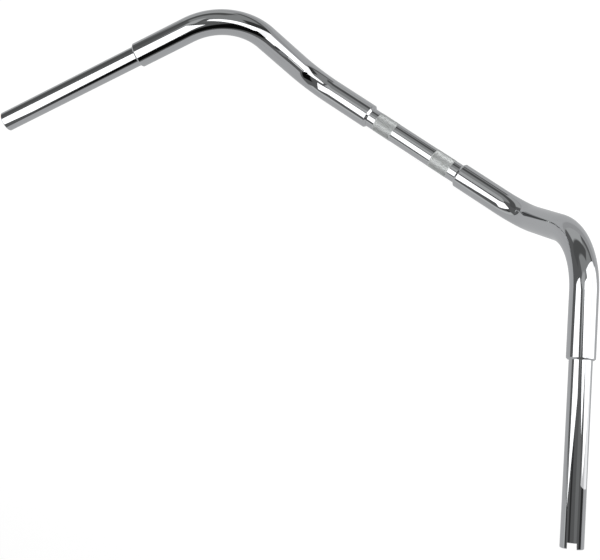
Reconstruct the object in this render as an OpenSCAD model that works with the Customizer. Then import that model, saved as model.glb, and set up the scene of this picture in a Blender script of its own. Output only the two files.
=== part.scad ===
// Stepped motorcycle handlebar: a knurled clamp tube in the middle, two fatter
// bent risers, and two slimmer grip tubes swept back towards the rider.
// All lengths are in millimetres and all angles in degrees.
// Frame: the origin is the middle of the clamp tube. +X points to the rider's
// right along the clamp tube, +Y forwards and +Z up. The grips point towards -Y.

/* [Slim tubes] */
// Outside diameter of the clamp tube and of both grip tubes
slim_d = 25.4; // [22:0.1:28]
// Wall thickness of the clamp tube and of both grip tubes
slim_wall = 3.05; // [1.6:0.05:4]
// Length of clamp tube that shows between the two risers
clamp_length = 140; // [110:1:200]
// Length of each grip tube that shows beyond its riser
grip_length = 199; // [150:1:260]
// Chamfer round the outside edge of each open bar end
end_chamfer = 0.8; // [0.3:0.1:1.2]
// Chamfer round the inside edge of each open bar end
bore_chamfer = 0.4; // [0.2:0.1:1]

/* [Risers] */
// Outside diameter of the two bent risers
riser_d = 31.75; // [30:0.05:38]
// Straight run of a riser from the clamp tube to its lower bend
lower_run = 64; // [50:1:120]
// Straight run of a riser between its two bends
leg_run = 62; // [10:1:200]
// Straight run of a riser from its upper bend to the grip tube
upper_run = 74; // [50:1:120]
// Bevel round the mouth of a riser at the clamp tube, measured along the tube
clamp_mouth_bevel = 2.9; // [0.5:0.1:3.2]
// Bevel round the mouth of a riser at the grip tube, measured along the tube
grip_mouth_bevel = 1.8; // [0.5:0.1:3.2]

/* [Bends] */
// Angle at which the leg of each riser climbs away from the clamp tube
rise_angle = 54.5; // [25:0.5:80]
// Bend radius of the lower bend, on the tube's centre line
lower_bend_r = 65; // [45:1:120]
// Angle by which each grip turns outwards from straight back
sweep_angle = 32; // [0:1:60]
// Angle by which each grip drops towards its open end
droop_angle = 1; // [0:0.5:15]
// Bend radius of the upper bend, on the tube's centre line
upper_bend_r = 84; // [45:1:120]
// How far bending swells the wall of a riser, on its outside and in its bore
bend_swell = 0.1; // [0.08:0.01:0.15]

/* [Spigots] */
// Length of each turned spigot that goes into a riser
spigot_length = 40; // [20:1:45]
// Depth by which a spigot is turned down from the slim tube's surface
spigot_step = 0.2; // [0.15:0.05:0.6]
// Radial gap between a spigot and the riser's bore
spigot_gap = 0.05; // [0.02:0.01:0.12]

/* [Knurled clamp bands] */
// Length of each of the two knurled bands
knurl_length = 28; // [15:1:36]
// Plain tube between each knurled band and the riser beside it
knurl_margin = 11; // [2:1:16]
// Height of the knurl's crests above the plain tube
knurl_height = 0.2; // [0.16:0.02:0.4]

/* [Throttle end] */
// Width of the two opposite notches in the right bar end
notch_width = 10; // [6:0.5:14]
// Depth of the two notches, measured along the grip tube
notch_depth = 6.6; // [3:0.2:12]

/* [Hidden] */

round_steps = 128;
cut_margin = 1;
seam_overlap = 0.5;

slim_r = slim_d / 2;
slim_bore_r = slim_r - slim_wall;
spigot_r = slim_r - spigot_step;
riser_r = riser_d / 2;
riser_bore_r = spigot_r + spigot_gap;
knurl_r = slim_r + knurl_height;

// The direction of the right grip, in the part's own frame
grip_dir = [
    sin(sweep_angle) * cos(droop_angle),
    -cos(sweep_angle) * cos(droop_angle),
    -sin(droop_angle)
];

// The right riser's leg: the way it runs, and the two directions across it
leg_dir = [cos(rise_angle), 0, sin(rise_angle)];
leg_up = [-sin(rise_angle), 0, cos(rise_angle)];
leg_back = [0, -1, 0];

// The upper bend turns from the leg's direction to the grip's direction
upper_bend_angle = acos(leg_dir * grip_dir);
upper_bend_plane = atan2(leg_back * grip_dir, leg_up * grip_dir);

// The two directions across the grip tube, and the turn from the first of them
// that faces the notches straight up
bend_inside = leg_up * cos(upper_bend_plane) + leg_back * sin(upper_bend_plane);
grip_across = bend_inside * cos(upper_bend_angle) - leg_dir * sin(upper_bend_angle);
grip_side = leg_back * cos(upper_bend_plane) - leg_up * sin(upper_bend_plane);
notch_turn = atan2(grip_side.z, grip_across.z);

chrome = "gainsboro";
satin = "silver";

// Section of a riser, swollen by the given depth outside and in the bore
module riser_section(swell) {
    difference() {
        circle(r = riser_r + swell, $fn = round_steps);
        circle(r = riser_bore_r - swell, $fn = round_steps);
    }
}

// Bend that leaves the local origin along +Z and curves towards +X
module riser_bend(angle, bend_r) {
    translate([bend_r, 0, 0])
        rotate([90, 0, 180])
            rotate_extrude(angle = angle, $fn = round_steps)
                translate([bend_r, 0]) riser_section(bend_swell);
}

// Moves its children from the start of a bend to the bend's end
module past_bend(angle, bend_r) {
    translate([bend_r * (1 - cos(angle)), 0, bend_r * sin(angle)])
        rotate([0, angle, 0]) children();
}

// Straight run between the two bends, let into each of them
module riser_leg() {
    translate([0, 0, -seam_overlap])
        linear_extrude(height = leg_run + 2 * seam_overlap) riser_section(0);
}

// Straight run with a bevelled mouth at the local origin, let into a bend above
module riser_mouth(length, bevel) {
    face_r = riser_r - min(bevel, riser_r - slim_r);
    seam = length + seam_overlap;
    rotate_extrude($fn = round_steps)
        polygon([
            [riser_bore_r, 0],
            [face_r, 0],
            [riser_r, bevel],
            [riser_r, seam],
            [riser_bore_r, seam]
        ]);
}

// Places its children at the right end of the clamp tube, +Z along the tube
// and +X up, which is how the right riser sets out
module at_clamp_end() {
    translate([clamp_length / 2, 0, 0])
        rotate([0, 90, 0]) rotate([0, 0, 180]) children();
}

// Places its children where the right riser's leg starts
module at_leg() {
    at_clamp_end()
        translate([0, 0, lower_run])
            past_bend(rise_angle, lower_bend_r) children();
}

// Places its children where the right upper bend starts, with +X towards
// the inside of that bend
module at_upper_bend() {
    at_leg()
        translate([0, 0, leg_run])
            rotate([0, 0, upper_bend_plane]) children();
}

// Places its children at the mouth of the right riser, +Z along the grip tube
module at_grip_end() {
    at_upper_bend()
        past_bend(upper_bend_angle, upper_bend_r)
            translate([0, 0, upper_run]) children();
}

// The same outline on the other side of the middle, in the order that follows on
function mirrored(outline) = [
    for (i = [len(outline) - 1:-1:0]) [outline[i].x, -outline[i].y]
];

// Clamp tube turned in one piece: a spigot at each end and two knurled bands
module clamp_tube() {
    shoulder = clamp_length / 2;
    band_end = shoulder - knurl_margin;
    band_start = band_end - knurl_length;
    tip = shoulder + spigot_length;
    outline = [
        [slim_r, band_start],
        [knurl_r, band_start],
        [knurl_r, band_end],
        [slim_r, band_end],
        [slim_r, shoulder],
        [spigot_r, shoulder],
        [spigot_r, tip],
        [slim_bore_r, tip]
    ];
    color(satin)
        rotate([0, 90, 0])
            rotate_extrude($fn = round_steps)
                polygon(concat(mirrored(outline), outline));
}

// One riser as a bent tube, with a bevelled mouth at each end
module riser() {
    at_clamp_end() {
        riser_mouth(lower_run, clamp_mouth_bevel);
        translate([0, 0, lower_run]) riser_bend(rise_angle, lower_bend_r);
    }
    at_leg() riser_leg();
    at_upper_bend() riser_bend(upper_bend_angle, upper_bend_r);
    at_grip_end() mirror([0, 0, 1]) riser_mouth(upper_run, grip_mouth_bevel);
}

module right_riser() {
    color(chrome) riser();
}

module left_riser() {
    color(chrome) mirror([1, 0, 0]) riser();
}

// One grip tube: a spigot behind the local origin and the grip's seat before it
module grip_tube() {
    rotate_extrude($fn = round_steps)
        polygon([
            [slim_bore_r, -spigot_length],
            [spigot_r, -spigot_length],
            [spigot_r, 0],
            [slim_r, 0],
            [slim_r, grip_length - end_chamfer],
            [slim_r - end_chamfer, grip_length],
            [slim_bore_r + bore_chamfer, grip_length],
            [slim_bore_r, grip_length - bore_chamfer]
        ]);
}

// Slot across the bar end that leaves two notches, one above and one below
module throttle_notches() {
    reach = slim_d + 2 * cut_margin;
    translate([0, 0, grip_length + (cut_margin - notch_depth) / 2])
        rotate([0, 0, notch_turn])
            cube([reach, notch_width, notch_depth + cut_margin], center = true);
}

module right_grip_tube() {
    color(chrome)
        at_grip_end()
            difference() {
                grip_tube();
                throttle_notches();
            }
}

module left_grip_tube() {
    color(chrome)
        mirror([1, 0, 0])
            at_grip_end() grip_tube();
}

clamp_tube();
left_riser();
right_riser();
left_grip_tube();
right_grip_tube();
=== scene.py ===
"""The looks of a chrome motorcycle handlebar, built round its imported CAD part.

Lengths are in metres. The origin is the middle of the clamp tube, +X is the
rider's right along that tube, +Y forwards and +Z up.
"""

import math
from collections import namedtuple

import bmesh
import bpy
from mathutils import Matrix, Vector


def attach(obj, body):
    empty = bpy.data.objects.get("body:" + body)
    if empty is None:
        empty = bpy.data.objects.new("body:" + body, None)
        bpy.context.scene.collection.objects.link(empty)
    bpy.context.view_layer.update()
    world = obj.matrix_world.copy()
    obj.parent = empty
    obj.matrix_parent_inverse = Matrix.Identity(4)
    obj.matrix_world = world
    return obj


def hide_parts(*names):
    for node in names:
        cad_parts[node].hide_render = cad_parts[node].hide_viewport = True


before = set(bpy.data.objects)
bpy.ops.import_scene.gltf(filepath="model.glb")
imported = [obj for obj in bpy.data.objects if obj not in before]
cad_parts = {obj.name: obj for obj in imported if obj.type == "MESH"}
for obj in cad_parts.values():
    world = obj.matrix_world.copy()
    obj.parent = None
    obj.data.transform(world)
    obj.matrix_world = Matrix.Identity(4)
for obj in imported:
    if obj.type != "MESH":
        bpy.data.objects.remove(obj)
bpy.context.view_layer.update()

MM = 0.001

# Slim tubes
SLIM_RADIUS = 12.7 * MM
SLIM_BORE_RADIUS = 9.65 * MM
SPIGOT_RADIUS = 12.5 * MM
SPIGOT_LENGTH = 40 * MM
CLAMP_LENGTH = 140 * MM
GRIP_LENGTH = 199 * MM
END_CHAMFER = 0.8 * MM
BORE_CHAMFER = 0.4 * MM

# Risers and their bends
RISER_RADIUS = 15.875 * MM
RISER_BORE_RADIUS = 12.55 * MM
LOWER_RUN = 64 * MM
LEG_RUN = 62 * MM
UPPER_RUN = 74 * MM
RISE_ANGLE = math.radians(54.5)
LOWER_BEND_RADIUS = 65 * MM
UPPER_BEND_RADIUS = 84 * MM
SWEEP_ANGLE = math.radians(32)
DROOP_ANGLE = math.radians(1)
CLAMP_MOUTH_BEVEL = 2.9 * MM
GRIP_MOUTH_BEVEL = 1.8 * MM

# Knurled bands: their length and place, the diamonds round the tube and the
# rows along a band
KNURL_LENGTH = 28 * MM
KNURL_MARGIN = 11 * MM
KNURL_AROUND = 120
KNURL_ROWS = 40
KNURL_CREST_RADIUS = 12.9 * MM
KNURL_ROOT_RADIUS = 12.55 * MM

# Throttle notches
NOTCH_WIDTH = 10 * MM
NOTCH_DEPTH = 6.6 * MM

# Roundings of the riser's mouth, and the plain run drawn behind its bevel
LIP_ROUND = 0.15 * MM
MOUTH_ROUND = 0.9 * MM
MOUTH_RUN = 4 * MM

# Roundings of an open bar end, and the plain tube left behind its notches
END_FACE_ROUND = 0.15 * MM
END_SIDE_ROUND = 0.3 * MM
PLAIN_BEHIND_NOTCH = 2 * MM

# How finely the tubes are drawn
AROUND = 128
BEND_STEP = math.radians(1.25)
GRIP_RINGS = 10
MIDDLE_RINGS = 4

# How far from a rounding its support ring lies, the angle between two faces from
# which their edge is sharp, and how near points have to be to be merged
SUPPORT = 0.25 * MM
SHARP_ANGLE = math.radians(24)
MERGE_WITHIN = 0.003 * MM

# Faces of a slim tube that lie nearer to its middle than this belong to its bore
BORE_WITHIN = 10 * MM

# The metals: the share of light that they mirror, how rough they are at least
# and at most, how strong their ripples are, and the depth of a full ripple
CHROME_COLOUR = (0.55, 0.555, 0.565)
CHROME_ROUGHNESS = (0.02, 0.05)
RISER_RIPPLE = 0.08
SLIM_TUBE_RIPPLE = 0.03
KNURL_COLOUR = (0.72, 0.735, 0.73)
KNURL_ROUGHNESS = (0.36, 0.56)
KNURL_RIPPLE = 0.1
# The bore's dark greys are partly its unplated steel and partly painted shade for the shade inside the
# tube
BORE_DARK = (0.12, 0.115, 0.11)
BORE_LIGHT = (0.28, 0.27, 0.26)
BORE_ROUGHNESS = (0.35, 0.60)
BORE_RIPPLE = 0.2
RIPPLE_DEPTH = 0.4 * MM

# The photograph's camera, from a fit of the tube's outline to its edges. What
# it faces is a bearing and a tilt in degrees, and the roll turns it about that.
CAMERA_PLACE = (0.3736, -0.1928, 1.2585)
CAMERA_BEARING = -174.92
CAMERA_TILT = -72.6
CAMERA_ROLL = -59.19
CAMERA_LENS = 60.63
SENSOR_WIDTH = 36

# Studio lamps, turned like the camera. Lengths are in metres, and a brightness
# of 1 is white.
Lamp = namedtuple("Lamp", "place bearing tilt roll width height brightness")
LAMPS = {
    "left_softbox": Lamp((-0.37, -0.37, 0.83), 99.5, -37.5, -33, 0.90, 0.70, 2.2),
    "tall_strip_box": Lamp((0.31, 0.29, 1.51), -156, -5, -13, 0.36, 2.32, 2.2),
    "leaning_board": Lamp((0.57, 0.31, 0.16), -178, -46, 48, 0.52, 0.74, 1.7),
    "side_board": Lamp((0.55, 0.15, 0.115), 180, 0, 0, 0.60, 0.26, 0.9),
}

# Tones of the room in the chrome: the bearings and heights in degrees that a
# wall or a gap spans, and its grey. A later one covers those before it.
Tone = namedtuple("Tone", "bearings heights grey")
ROOM_GREY = 0.16
ROOM_TINT = (0.98, 1.0, 0.995, 1)
ROOM_TONES = {
    "front_wall": Tone((35, 155), (10, 70), 0.37),
    "front_sweep": Tone((108, 160), (-10, 28), 0.57),
    "gap_over_front_sweep": Tone((95, 180), (19, 40), 0.125),
    "stand": Tone((30, 60), (-20, 35), 0.06),
    "rear_sweep": Tone((-145, -80), (0, 17), 0.73),
    "dark_doorway": Tone((-53, 20), (8, 40), 0.005),
    "ceiling_panel": Tone((110, 180), (62, 88), 0.61),
    "dark_beam": Tone((-145, -125), (50, 67), 0.045),
    "dark_gap_under_softbox": Tone((-145, -135), (16, 30), 0.06),
    "pale_ceiling": Tone((5, 30), (48, 80), 0.25),
    "dark_gap_beside_board": Tone((15, 30), (-5, 25), 0.04),
}

# How far to either side of a tone's border its soft edge reaches, in degrees
TONE_EDGE = 2.5

# The room's white where the camera looks straight at it
PALE_BACKDROP = 0.95

# The pale sheet under the bar: how far it reaches and how far below the risers
# it lies, then its white to the camera, to which lamplight adds a little, and
# its white to bounced light
SHEET_REACH = 6
SHEET_GAP = 0.5 * MM
SHEET_WHITE = 0.91
SHEET_LIT_WHITE = 0.20
SHEET_BOUNCE_WHITE = 0.80

# The sheet in the chrome glows with painted lamplight instead of being lit: where its glow steps darker,
# and its greys before and past that
SHEET_STEP = 0.32
SHEET_STEP_SOFTNESS = 0.06
SHEET_GLOW_GREY = 0.61
PAST_STEP_GREY = 0.49
SHEET_UNEVENNESS = 0.08
SHEET_TINT = (0.99, 1.0, 1.01, 1)

LEG_DIRECTION = Vector((math.cos(RISE_ANGLE), 0, math.sin(RISE_ANGLE)))
LEG_UP = Vector((-math.sin(RISE_ANGLE), 0, math.cos(RISE_ANGLE)))
LEG_BACK = Vector((0, -1, 0))
GRIP_DIRECTION = Vector((
    math.sin(SWEEP_ANGLE) * math.cos(DROOP_ANGLE),
    -math.cos(SWEEP_ANGLE) * math.cos(DROOP_ANGLE),
    -math.sin(DROOP_ANGLE),
))
UPPER_BEND_ANGLE = LEG_DIRECTION.angle(GRIP_DIRECTION)
UPPER_BEND_PLANE = math.atan2(LEG_BACK.dot(GRIP_DIRECTION), LEG_UP.dot(GRIP_DIRECTION))

# The two directions across the grip tube, and the turn that faces a notch upwards
BEND_INSIDE = LEG_UP * math.cos(UPPER_BEND_PLANE) + LEG_BACK * math.sin(UPPER_BEND_PLANE)
GRIP_ACROSS = BEND_INSIDE * math.cos(UPPER_BEND_ANGLE) - LEG_DIRECTION * math.sin(UPPER_BEND_ANGLE)
GRIP_SIDE = LEG_BACK * math.cos(UPPER_BEND_PLANE) - LEG_UP * math.sin(UPPER_BEND_PLANE)
NOTCH_TURN = math.atan2(GRIP_SIDE.z, GRIP_ACROSS.z)


def turn(angle, axis):
    return Matrix.Rotation(angle, 4, axis)


def shift(x, y, z):
    return Matrix.Translation((x, y, z))


def past_bend(angle, bend_radius):
    """From the start of a bend, which leaves along +Z towards +X, to its end."""
    across = bend_radius * (1 - math.cos(angle))
    along = bend_radius * math.sin(angle)
    return shift(across, 0, along) @ turn(angle, "Y")


# Places along the right half of the bar, each with +Z along the tube
CLAMP_END = shift(CLAMP_LENGTH / 2, 0, 0) @ turn(math.pi / 2, "Y") @ turn(math.pi, "Z")
LEG_START = CLAMP_END @ shift(0, 0, LOWER_RUN) @ past_bend(RISE_ANGLE, LOWER_BEND_RADIUS)
UPPER_START = LEG_START @ shift(0, 0, LEG_RUN) @ turn(UPPER_BEND_PLANE, "Z")
GRIP_MOUTH = (
    UPPER_START
    @ past_bend(UPPER_BEND_ANGLE, UPPER_BEND_RADIUS)
    @ shift(0, 0, UPPER_RUN)
)


def softened(points, radii, steps=5):
    """A (radius, height) profile with its inner corners rounded off.

    Each rounding gets a point just outside it, so that the shading of the long
    plain stretches beside it stays true.
    """
    soft = [points[0]]
    for before, corner, after, radius in zip(points, points[1:], points[2:], radii):
        corner, before, after = Vector(corner), Vector(before), Vector(after)
        if not radius:
            soft.append(tuple(corner))
            continue
        back = (before - corner).normalized()
        ahead = (after - corner).normalized()
        half = back.angle(ahead) / 2
        reach = radius / math.tan(half)
        centre = corner + (back + ahead).normalized() * (radius / math.sin(half))
        first = corner + back * reach - centre
        last = corner + ahead * reach - centre
        soft.append(tuple(centre + first + back * SUPPORT))
        for step in range(steps + 1):
            outwards = first.slerp(last, step / steps).normalized()
            soft.append(tuple(centre + radius * outwards))
        soft.append(tuple(centre + last + ahead * SUPPORT))
    soft.append(points[-1])
    return soft


def tidy(mesh):
    bmesh.ops.remove_doubles(mesh, verts=mesh.verts, dist=MERGE_WITHIN)
    bmesh.ops.recalc_face_normals(mesh, faces=mesh.faces)


def turned(points, around=AROUND):
    """A closed shape turned about local Z from (radius, height) pairs."""
    mesh = bmesh.new()
    verts = [mesh.verts.new((radius, 0, height)) for radius, height in points]
    edges = [mesh.edges.new(pair) for pair in zip(verts, verts[1:] + verts[:1])]
    bmesh.ops.spin(
        mesh,
        geom=verts + edges,
        cent=(0, 0, 0),
        axis=(0, 0, 1),
        angle=2 * math.pi,
        steps=around,
        use_merge=True,
    )
    tidy(mesh)
    return mesh


def placed(mesh, place, mirrored=False):
    """Moves a mesh to its place on the right half, or mirrors it to the left."""
    bmesh.ops.transform(mesh, matrix=place, verts=mesh.verts)
    if mirrored:
        bmesh.ops.scale(mesh, vec=(-1, 1, 1), verts=mesh.verts)
        bmesh.ops.recalc_face_normals(mesh, faces=mesh.faces)


def piece(name, mesh, materials, node):
    """Makes an object of a finished mesh and ties it to the frame."""
    for face in mesh.faces:
        face.smooth = True
    for edge in mesh.edges:
        if len(edge.link_faces) == 2:
            edge.smooth = edge.calc_face_angle(0) < SHARP_ANGLE
    data = bpy.data.meshes.new(name)
    mesh.to_mesh(data)
    mesh.free()
    made = bpy.data.objects.new(name, data)
    bpy.context.scene.collection.objects.link(made)
    for material in materials:
        data.materials.append(material)
    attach(made, "root")
    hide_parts(node)
    return made


class TubeMaker:
    """Draws a tube out of an open ring, run by run and bend by bend."""

    def __init__(self, mesh, radius):
        self.mesh = mesh
        ring = bmesh.ops.create_circle(mesh, segments=AROUND, radius=radius)["verts"]
        self.rim = list({edge for vert in ring for edge in vert.link_edges})
        self.first_rim = self.rim
        self.radius = radius
        self.place = Matrix()

    def draw(self, length, radius):
        """One ring further along, opened or closed to the given radius."""
        made = bmesh.ops.extrude_edge_only(self.mesh, edges=self.rim)["geom"]
        verts = [item for item in made if isinstance(item, bmesh.types.BMVert)]
        self.rim = [item for item in made if isinstance(item, bmesh.types.BMEdge)]
        factor = radius / self.radius
        bmesh.ops.scale(self.mesh, vec=(factor,) * 3, space=self.place.inverted(), verts=verts)
        step = self.place.to_3x3() @ Vector((0, 0, length))
        bmesh.ops.translate(self.mesh, vec=step, verts=verts)
        self.place = self.place @ shift(0, 0, length)
        self.radius = radius

    def follow(self, points):
        """Draws along a profile of (radius, height) pairs, from its first height."""
        for before, after in zip(points, points[1:]):
            self.draw(after[1] - before[1], after[0])

    def straight(self, length, parts=6):
        for _ in range(parts):
            self.draw(length / parts, self.radius)

    def bend(self, angle, bend_radius):
        centre = self.place @ Vector((bend_radius, 0, 0))
        axis = self.place.to_3x3() @ Vector((0, 1, 0))
        verts = list({vert for edge in self.rim for vert in edge.verts})
        made = bmesh.ops.spin(
            self.mesh,
            geom=verts + self.rim,
            cent=centre,
            axis=axis,
            angle=angle,
            steps=math.ceil(angle / BEND_STEP),
        )["geom_last"]
        self.rim = [item for item in made if isinstance(item, bmesh.types.BMEdge)]
        self.place = self.place @ past_bend(angle, bend_radius)

    def riser_path(self, lower_run, upper_run):
        """The riser's way: a lower bend, the leg, and an upper bend in its own plane."""
        self.straight(lower_run)
        self.bend(RISE_ANGLE, LOWER_BEND_RADIUS)
        self.straight(LEG_RUN)
        self.place = self.place @ turn(UPPER_BEND_PLANE, "Z")
        self.bend(UPPER_BEND_ANGLE, UPPER_BEND_RADIUS)
        self.straight(upper_run)


def mouth_profile(bevel):
    """A riser's mouth from its bore out to its full radius."""
    lip = RISER_RADIUS - min(bevel, RISER_RADIUS - SLIM_RADIUS)
    bore = RISER_BORE_RADIUS
    points = [(bore, 0), (lip, 0), (RISER_RADIUS, bevel), (RISER_RADIUS, bevel + MOUTH_RUN)]
    return softened(points, (min(LIP_ROUND, (lip - bore) / 3), MOUTH_ROUND))


def riser_tube():
    """One riser as a bent tube with a smooth bore and a bevelled mouth at each end."""
    mesh = bmesh.new()
    entry = mouth_profile(CLAMP_MOUTH_BEVEL)
    leaving = mouth_profile(GRIP_MOUTH_BEVEL)
    outside = TubeMaker(mesh, entry[0][0])
    outside.follow(entry)
    outside.riser_path(LOWER_RUN - entry[-1][1], UPPER_RUN - leaving[-1][1])
    outside.follow([(radius, -height) for radius, height in reversed(leaving)])
    plated = set(mesh.faces)
    bore = TubeMaker(mesh, RISER_BORE_RADIUS)
    bore.riser_path(LOWER_RUN, UPPER_RUN)
    # the bore faces take the darker bore material, which holds painted shade
    for face in mesh.faces:
        face.material_index = 0 if face in plated else 1
    tidy(mesh)
    return mesh


def notched(mesh):
    """Cuts the throttle notches through both walls of the bar end."""
    data = bpy.data.meshes.new("bar_end")
    mesh.to_mesh(data)
    mesh.free()
    bar = bpy.data.objects.new("bar_end", data)
    cutter_mesh = bmesh.new()
    bmesh.ops.create_cube(cutter_mesh, size=1)
    reach = 4 * SLIM_RADIUS
    bmesh.ops.scale(cutter_mesh, vec=(reach, NOTCH_WIDTH, 2 * NOTCH_DEPTH), verts=cutter_mesh.verts)
    bmesh.ops.transform(
        cutter_mesh, matrix=shift(0, 0, GRIP_LENGTH) @ turn(NOTCH_TURN, "Z"), verts=cutter_mesh.verts
    )
    cutter_data = bpy.data.meshes.new("notch_cutter")
    cutter_mesh.to_mesh(cutter_data)
    cutter_mesh.free()
    cutter = bpy.data.objects.new("notch_cutter", cutter_data)
    for made in (bar, cutter):
        bpy.context.scene.collection.objects.link(made)
    cut = bar.modifiers.new("notches", "BOOLEAN")
    cut.operation = "DIFFERENCE"
    cut.solver = "EXACT"
    cut.object = cutter
    shown = bar.evaluated_get(bpy.context.evaluated_depsgraph_get())
    finished = bmesh.new()
    finished.from_mesh(shown.to_mesh())
    shown.to_mesh_clear()
    for made in (bar, cutter):
        bpy.data.objects.remove(made)
    for made in (data, cutter_data):
        bpy.data.meshes.remove(made)
    bmesh.ops.remove_doubles(finished, verts=finished.verts, dist=MERGE_WITHIN)
    return finished


def grip_tube(with_notches):
    """One grip tube with its spigot, +Z towards its open end."""
    above = GRIP_LENGTH - NOTCH_DEPTH - PLAIN_BEHIND_NOTCH
    points = softened(
        [
            (SLIM_BORE_RADIUS, above),
            (SLIM_BORE_RADIUS, GRIP_LENGTH - BORE_CHAMFER),
            (SLIM_BORE_RADIUS + BORE_CHAMFER, GRIP_LENGTH),
            (SLIM_RADIUS - END_CHAMFER, GRIP_LENGTH),
            (SLIM_RADIUS, GRIP_LENGTH - END_CHAMFER),
            (SLIM_RADIUS, above),
        ],
        (0, 0, END_FACE_ROUND, END_SIDE_ROUND),
        steps=3,
    )
    points += [(SLIM_RADIUS, above * ring / GRIP_RINGS) for ring in reversed(range(GRIP_RINGS))]
    points += [(SPIGOT_RADIUS, 0), (SPIGOT_RADIUS, -SPIGOT_LENGTH), (SLIM_BORE_RADIUS, -SPIGOT_LENGTH)]
    mesh = turned(points)
    if with_notches:
        mesh = notched(mesh)
    # the bore is darker than the plated outside: partly rougher unplated steel, partly painted shade for
    # the shade inside the tube
    for face in mesh.faces:
        middle = face.calc_center_median()
        if math.hypot(middle.x, middle.y) < BORE_WITHIN:
            face.material_index = 1
    return mesh


def clamp_tube():
    """The middle tube, with a diamond knurl rolled into its two bands."""
    half = CLAMP_LENGTH / 2
    band_end = half - KNURL_MARGIN
    band_start = band_end - KNURL_LENGTH
    tip = half + SPIGOT_LENGTH
    rows = [band_start + KNURL_LENGTH * row / KNURL_ROWS for row in range(KNURL_ROWS + 1)]
    right = [(SLIM_RADIUS, band_start * ring / MIDDLE_RINGS) for ring in range(1, MIDDLE_RINGS)]
    right += [(SLIM_RADIUS, band_start - SUPPORT)]
    right += [(SLIM_RADIUS, row) for row in rows]
    right += [(SLIM_RADIUS, band_end + SUPPORT), (SLIM_RADIUS, half)]
    right += [(SPIGOT_RADIUS, half), (SPIGOT_RADIUS, tip), (SLIM_BORE_RADIUS, tip)]
    left = [(radius, -along) for radius, along in reversed(right)]
    mesh = turned(left + right, around=KNURL_AROUND)
    pitch = KNURL_LENGTH / KNURL_ROWS
    crests, valleys, knurled = [], [], set()
    for vert in mesh.verts:
        along = abs(vert.co.z)
        row = round((along - band_start) / pitch)
        if not 0 < row < KNURL_ROWS or math.hypot(vert.co.x, vert.co.y) < BORE_WITHIN:
            continue
        column = round(math.atan2(vert.co.y, vert.co.x) / (2 * math.pi) * KNURL_AROUND)
        (crests if (row + column) % 2 else valleys).append(vert)
        knurled.update(vert.link_faces)
    for verts, radius in ((crests, KNURL_CREST_RADIUS), (valleys, KNURL_ROOT_RADIUS)):
        factor = radius / SLIM_RADIUS
        bmesh.ops.scale(mesh, vec=(factor, factor, 1), verts=verts)
    for face in knurled:
        face.material_index = 1
    bmesh.ops.triangulate(mesh, faces=list(knurled), quad_method="SHORT_EDGE")
    bmesh.ops.transform(mesh, matrix=turn(math.pi / 2, "Y"), verts=mesh.verts)
    bmesh.ops.recalc_face_normals(mesh, faces=mesh.faces)
    return mesh


def make_handlebar():
    riser_chrome = chrome_plate("riser_chrome", RISER_RIPPLE)
    grip_chrome = chrome_plate("grip_chrome", SLIM_TUBE_RIPPLE)
    clamp_chrome = chrome_plate("clamp_chrome", SLIM_TUBE_RIPPLE)
    knurl_chrome = satin_knurl("knurl_chrome")
    # the bore material is darkened with painted shade for the inside of the tubes
    shaded_bore_steel = dull_shaded_bore("shaded_bore_steel")
    for side, mirrored in (("right", False), ("left", True)):
        riser = riser_tube()
        placed(riser, CLAMP_END, mirrored)
        piece(side + "_riser_tube", riser, [riser_chrome, shaded_bore_steel], side + "_riser")
        grip = grip_tube(with_notches=not mirrored)
        placed(grip, GRIP_MOUTH, mirrored)
        piece(side + "_grip_bar", grip, [grip_chrome, shaded_bore_steel], side + "_grip_tube")
    piece("clamp_bar", clamp_tube(), [clamp_chrome, knurl_chrome], "clamp_tube")


def new_material(name):
    material = bpy.data.materials.new(name)
    material.use_nodes = True
    return material, material.node_tree


def grain(tree, scale, detail):
    """A cloudy pattern fixed to the piece, from 0 to 1."""
    place = tree.nodes.new("ShaderNodeTexCoord")
    clouds = tree.nodes.new("ShaderNodeTexNoise")
    clouds.inputs["Scale"].default_value = scale
    clouds.inputs["Detail"].default_value = detail
    tree.links.new(place.outputs["Object"], clouds.inputs["Vector"])
    return clouds.outputs["Fac"]


def ranged(tree, value, low, high):
    """A pattern's 0 to 1 spread over another range."""
    spread = tree.nodes.new("ShaderNodeMapRange")
    spread.inputs["To Min"].default_value = low
    spread.inputs["To Max"].default_value = high
    tree.links.new(value, spread.inputs["Value"])
    return spread.outputs["Result"]


def shaded_metal(name, colour, roughness, ripple, grain_scale, ripple_scale):
    """Metal whose gloss wanders between two roughnesses over a rippled surface."""
    material, tree = new_material(name)
    links = tree.links
    shader = tree.nodes["Principled BSDF"]
    shader.inputs["Base Color"].default_value = (*colour, 1)
    shader.inputs["Metallic"].default_value = 1.0
    links.new(ranged(tree, grain(tree, grain_scale, detail=3), *roughness), shader.inputs["Roughness"])
    bump = tree.nodes.new("ShaderNodeBump")
    bump.inputs["Strength"].default_value = ripple
    bump.inputs["Distance"].default_value = RIPPLE_DEPTH
    links.new(grain(tree, ripple_scale, detail=1), bump.inputs["Height"])
    links.new(bump.outputs["Normal"], shader.inputs["Normal"])
    return material


def chrome_plate(name, ripple):
    """Bright chrome with the faint waves that polishing leaves."""
    return shaded_metal(name, CHROME_COLOUR, CHROME_ROUGHNESS, ripple, grain_scale=90, ripple_scale=45)


def satin_knurl(name):
    """The rolled diamonds' plating, matt from their many small faces."""
    return shaded_metal(
        name, KNURL_COLOUR, KNURL_ROUGHNESS, KNURL_RIPPLE, grain_scale=600, ripple_scale=900
    )


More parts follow.
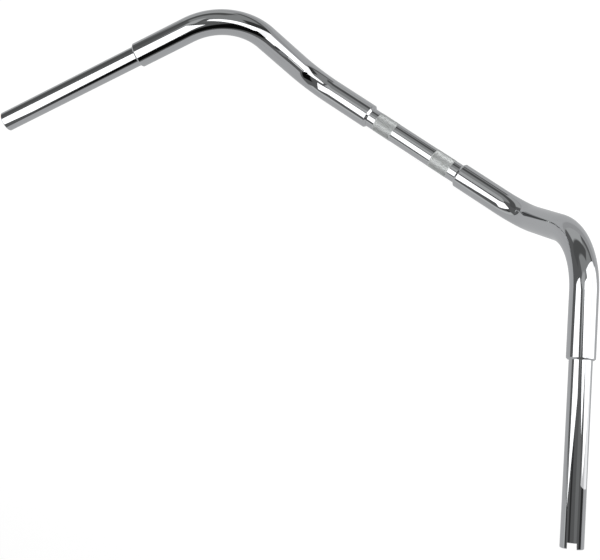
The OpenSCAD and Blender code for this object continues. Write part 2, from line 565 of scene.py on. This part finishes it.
def dull_shaded_bore(name):
    """The inside of a tube, rough where the plating only just reaches, and darkened with painted shade
    for the shade inside the tube.
    """
    material = shaded_metal(
        name, BORE_LIGHT, BORE_ROUGHNESS, BORE_RIPPLE, grain_scale=400, ripple_scale=400
    )
    tree = material.node_tree
    # painted shade: greys varying at random between dark and darker, for the shaded inside of the tube
    tone = tree.nodes.new("ShaderNodeValToRGB")
    tone.color_ramp.elements[0].color = (*BORE_DARK, 1)
    tone.color_ramp.elements[1].color = (*BORE_LIGHT, 1)
    tree.links.new(grain(tree, scale=400, detail=4), tone.inputs["Fac"])
    tree.links.new(tone.outputs["Color"], tree.nodes["Principled BSDF"].inputs["Base Color"])
    return material


def calculated(tree, operation, first, second=None):
    """The result of one sum on two values, each a socket or a number."""
    node = tree.nodes.new("ShaderNodeMath")
    node.operation = operation
    for socket, value in zip(node.inputs, (first, second)):
        if isinstance(value, bpy.types.NodeSocket):
            tree.links.new(value, socket)
        elif value is not None:
            socket.default_value = value
    return node.outputs["Value"]


def rising(tree, value, middle, edge):
    """0 below a soft step in a value and 1 above it."""
    step = tree.nodes.new("ShaderNodeMapRange")
    step.interpolation_type = "SMOOTHSTEP"
    step.inputs["From Min"].default_value = middle - edge
    step.inputs["From Max"].default_value = middle + edge
    tree.links.new(value, step.inputs["Value"])
    return step.outputs["Result"]


def within(tree, value, low, high, edge):
    """1 where a value lies between two soft steps, and 0 outside them."""
    above = rising(tree, value, low, edge)
    past = rising(tree, value, high, edge)
    return calculated(tree, "SUBTRACT", above, past)


def blended(tree, below, above, share):
    """One grey laid over another by a share, each a socket or a number."""
    layer = tree.nodes.new("ShaderNodeMix")
    tree.links.new(share, layer.inputs["Factor"])
    for name, value in (("A", below), ("B", above)):
        if isinstance(value, bpy.types.NodeSocket):
            tree.links.new(value, layer.inputs[name])
        else:
            layer.inputs[name].default_value = value
    return layer.outputs["Result"]


def chosen(tree, share, usual, special):
    """A shader that is swapped for another one by a share."""
    choice = tree.nodes.new("ShaderNodeMixShader")
    tree.links.new(share, choice.inputs["Fac"])
    tree.links.new(usual, choice.inputs[1])
    tree.links.new(special, choice.inputs[2])
    return choice.outputs["Shader"]


def grey_colour(grey):
    return (grey, grey, grey, 1)


def white_sheet(name):
    """Pale paper: white to the camera with a faint shadow; in the chrome a softer glow of painted
    lamplight without the shadow.
    """
    material, tree = new_material(name)
    nodes, links = tree.nodes, tree.links
    nodes.remove(nodes["Principled BSDF"])
    paper = nodes.new("ShaderNodeBsdfDiffuse")
    paper.inputs["Color"].default_value = grey_colour(SHEET_BOUNCE_WHITE)

    # what the camera sees: nearly white of its own, and the light makes up the rest
    shadowed = nodes.new("ShaderNodeBsdfDiffuse")
    shadowed.inputs["Color"].default_value = grey_colour(SHEET_LIT_WHITE)
    white = nodes.new("ShaderNodeEmission")
    white.inputs["Color"].default_value = grey_colour(SHEET_WHITE)
    seen = nodes.new("ShaderNodeAddShader")
    links.new(white.outputs["Emission"], seen.inputs[0])
    links.new(shadowed.outputs["BSDF"], seen.inputs[1])

    # what the chrome mirrors: the sheet glows with painted lamplight, a step darker some way in front of
    # the bar
    place = nodes.new("ShaderNodeTexCoord")
    parts = nodes.new("ShaderNodeSeparateXYZ")
    links.new(place.outputs["Object"], parts.inputs["Vector"])
    far = rising(tree, parts.outputs["Y"], SHEET_STEP, SHEET_STEP_SOFTNESS)
    grey = blended(tree, SHEET_GLOW_GREY, PAST_STEP_GREY, far)
    clouds = grain(tree, scale=4, detail=2)
    unevenness = ranged(tree, clouds, 1 - SHEET_UNEVENNESS, 1 + SHEET_UNEVENNESS)
    # painted lamplight: the glow that the chrome sees in place of the lit sheet
    mirrored = nodes.new("ShaderNodeEmission")
    mirrored.inputs["Color"].default_value = SHEET_TINT
    links.new(calculated(tree, "MULTIPLY", grey, unevenness), mirrored.inputs["Strength"])

    ray = nodes.new("ShaderNodeLightPath")
    clear = calculated(tree, "MAXIMUM", ray.outputs["Is Glossy Ray"], ray.outputs["Is Transmission Ray"])
    bounced = chosen(tree, clear, paper.outputs["BSDF"], mirrored.outputs["Emission"])
    shown = chosen(tree, ray.outputs["Is Camera Ray"], bounced, seen.outputs["Shader"])
    links.new(shown, nodes["Material Output"].inputs["Surface"])
    return material


def make_floor():
    mesh = bmesh.new()
    bmesh.ops.create_grid(mesh, x_segments=1, y_segments=1, size=SHEET_REACH)
    bmesh.ops.translate(mesh, vec=(0, 0, -RISER_RADIUS - SHEET_GAP), verts=mesh.verts)
    data = bpy.data.meshes.new("floor")
    mesh.to_mesh(data)
    mesh.free()
    floor = bpy.data.objects.new("floor", data)
    bpy.context.scene.collection.objects.link(floor)
    data.materials.append(white_sheet("white_sheet"))


def faced(place, bearing, tilt, roll):
    """The place and turn of a camera or a lamp, which both look along their own -Z."""
    ahead = turn(math.radians(bearing), "Z") @ turn(math.radians(-tilt), "Y")
    upright = turn(math.radians(-90), "Z") @ turn(math.radians(90), "X")
    return shift(*place) @ ahead @ upright @ turn(math.radians(roll), "Z")


def make_camera():
    data = bpy.data.cameras.new("camera")
    camera = bpy.data.objects.new("camera", data)
    bpy.context.scene.collection.objects.link(camera)
    camera.matrix_world = faced(CAMERA_PLACE, CAMERA_BEARING, CAMERA_TILT, CAMERA_ROLL)
    data.sensor_width = SENSOR_WIDTH
    data.lens = CAMERA_LENS
    data.clip_start = 0.05
    data.clip_end = 50
    bpy.context.scene.camera = camera


def make_lamp(name, lamp):
    """A soft lamp or a lit board: a bright rectangle that shows as such in the chrome."""
    data = bpy.data.lights.new(name, "AREA")
    data.shape = "RECTANGLE"
    data.size = lamp.width
    data.size_y = lamp.height
    data.energy = lamp.brightness * math.pi * lamp.width * lamp.height
    made = bpy.data.objects.new(name, data)
    bpy.context.scene.collection.objects.link(made)
    made.matrix_world = faced(lamp.place, lamp.bearing, lamp.tilt, lamp.roll)


def dim_room(name):
    """A dim room round the sheet, pale where the camera looks straight at it."""
    world = bpy.data.worlds.new(name)
    world.use_nodes = True
    tree = world.node_tree
    nodes, links = tree.nodes, tree.links
    place = nodes.new("ShaderNodeTexCoord")
    parts = nodes.new("ShaderNodeSeparateXYZ")
    links.new(place.outputs["Generated"], parts.inputs["Vector"])
    bearing = calculated(tree, "ARCTAN2", parts.outputs["Y"], parts.outputs["X"])
    bearing = calculated(tree, "DEGREES", bearing)
    height = calculated(tree, "DEGREES", calculated(tree, "ARCSINE", parts.outputs["Z"]))
    grey = ROOM_GREY
    for tone in ROOM_TONES.values():
        across = within(tree, bearing, *tone.bearings, TONE_EDGE)
        upright = within(tree, height, *tone.heights, TONE_EDGE)
        covered = calculated(tree, "MULTIPLY", across, upright)
        grey = blended(tree, grey, tone.grey, covered)
    room = nodes["Background"]
    room.inputs["Color"].default_value = ROOM_TINT
    links.new(grey, room.inputs["Strength"])
    pale = nodes.new("ShaderNodeBackground")
    pale.inputs["Color"].default_value = grey_colour(1)
    pale.inputs["Strength"].default_value = PALE_BACKDROP
    straight = nodes.new("ShaderNodeLightPath").outputs["Is Camera Ray"]
    shown = chosen(tree, straight, room.outputs["Background"], pale.outputs["Background"])
    links.new(shown, nodes["World Output"].inputs["Surface"])
    return world


def make_light():
    for name, lamp in LAMPS.items():
        make_lamp(name, lamp)
    bpy.context.scene.world = dim_room("dim_room")


make_handlebar()
make_floor()
make_camera()
make_light()
bpy.context.scene.view_settings.view_transform = "Standard"
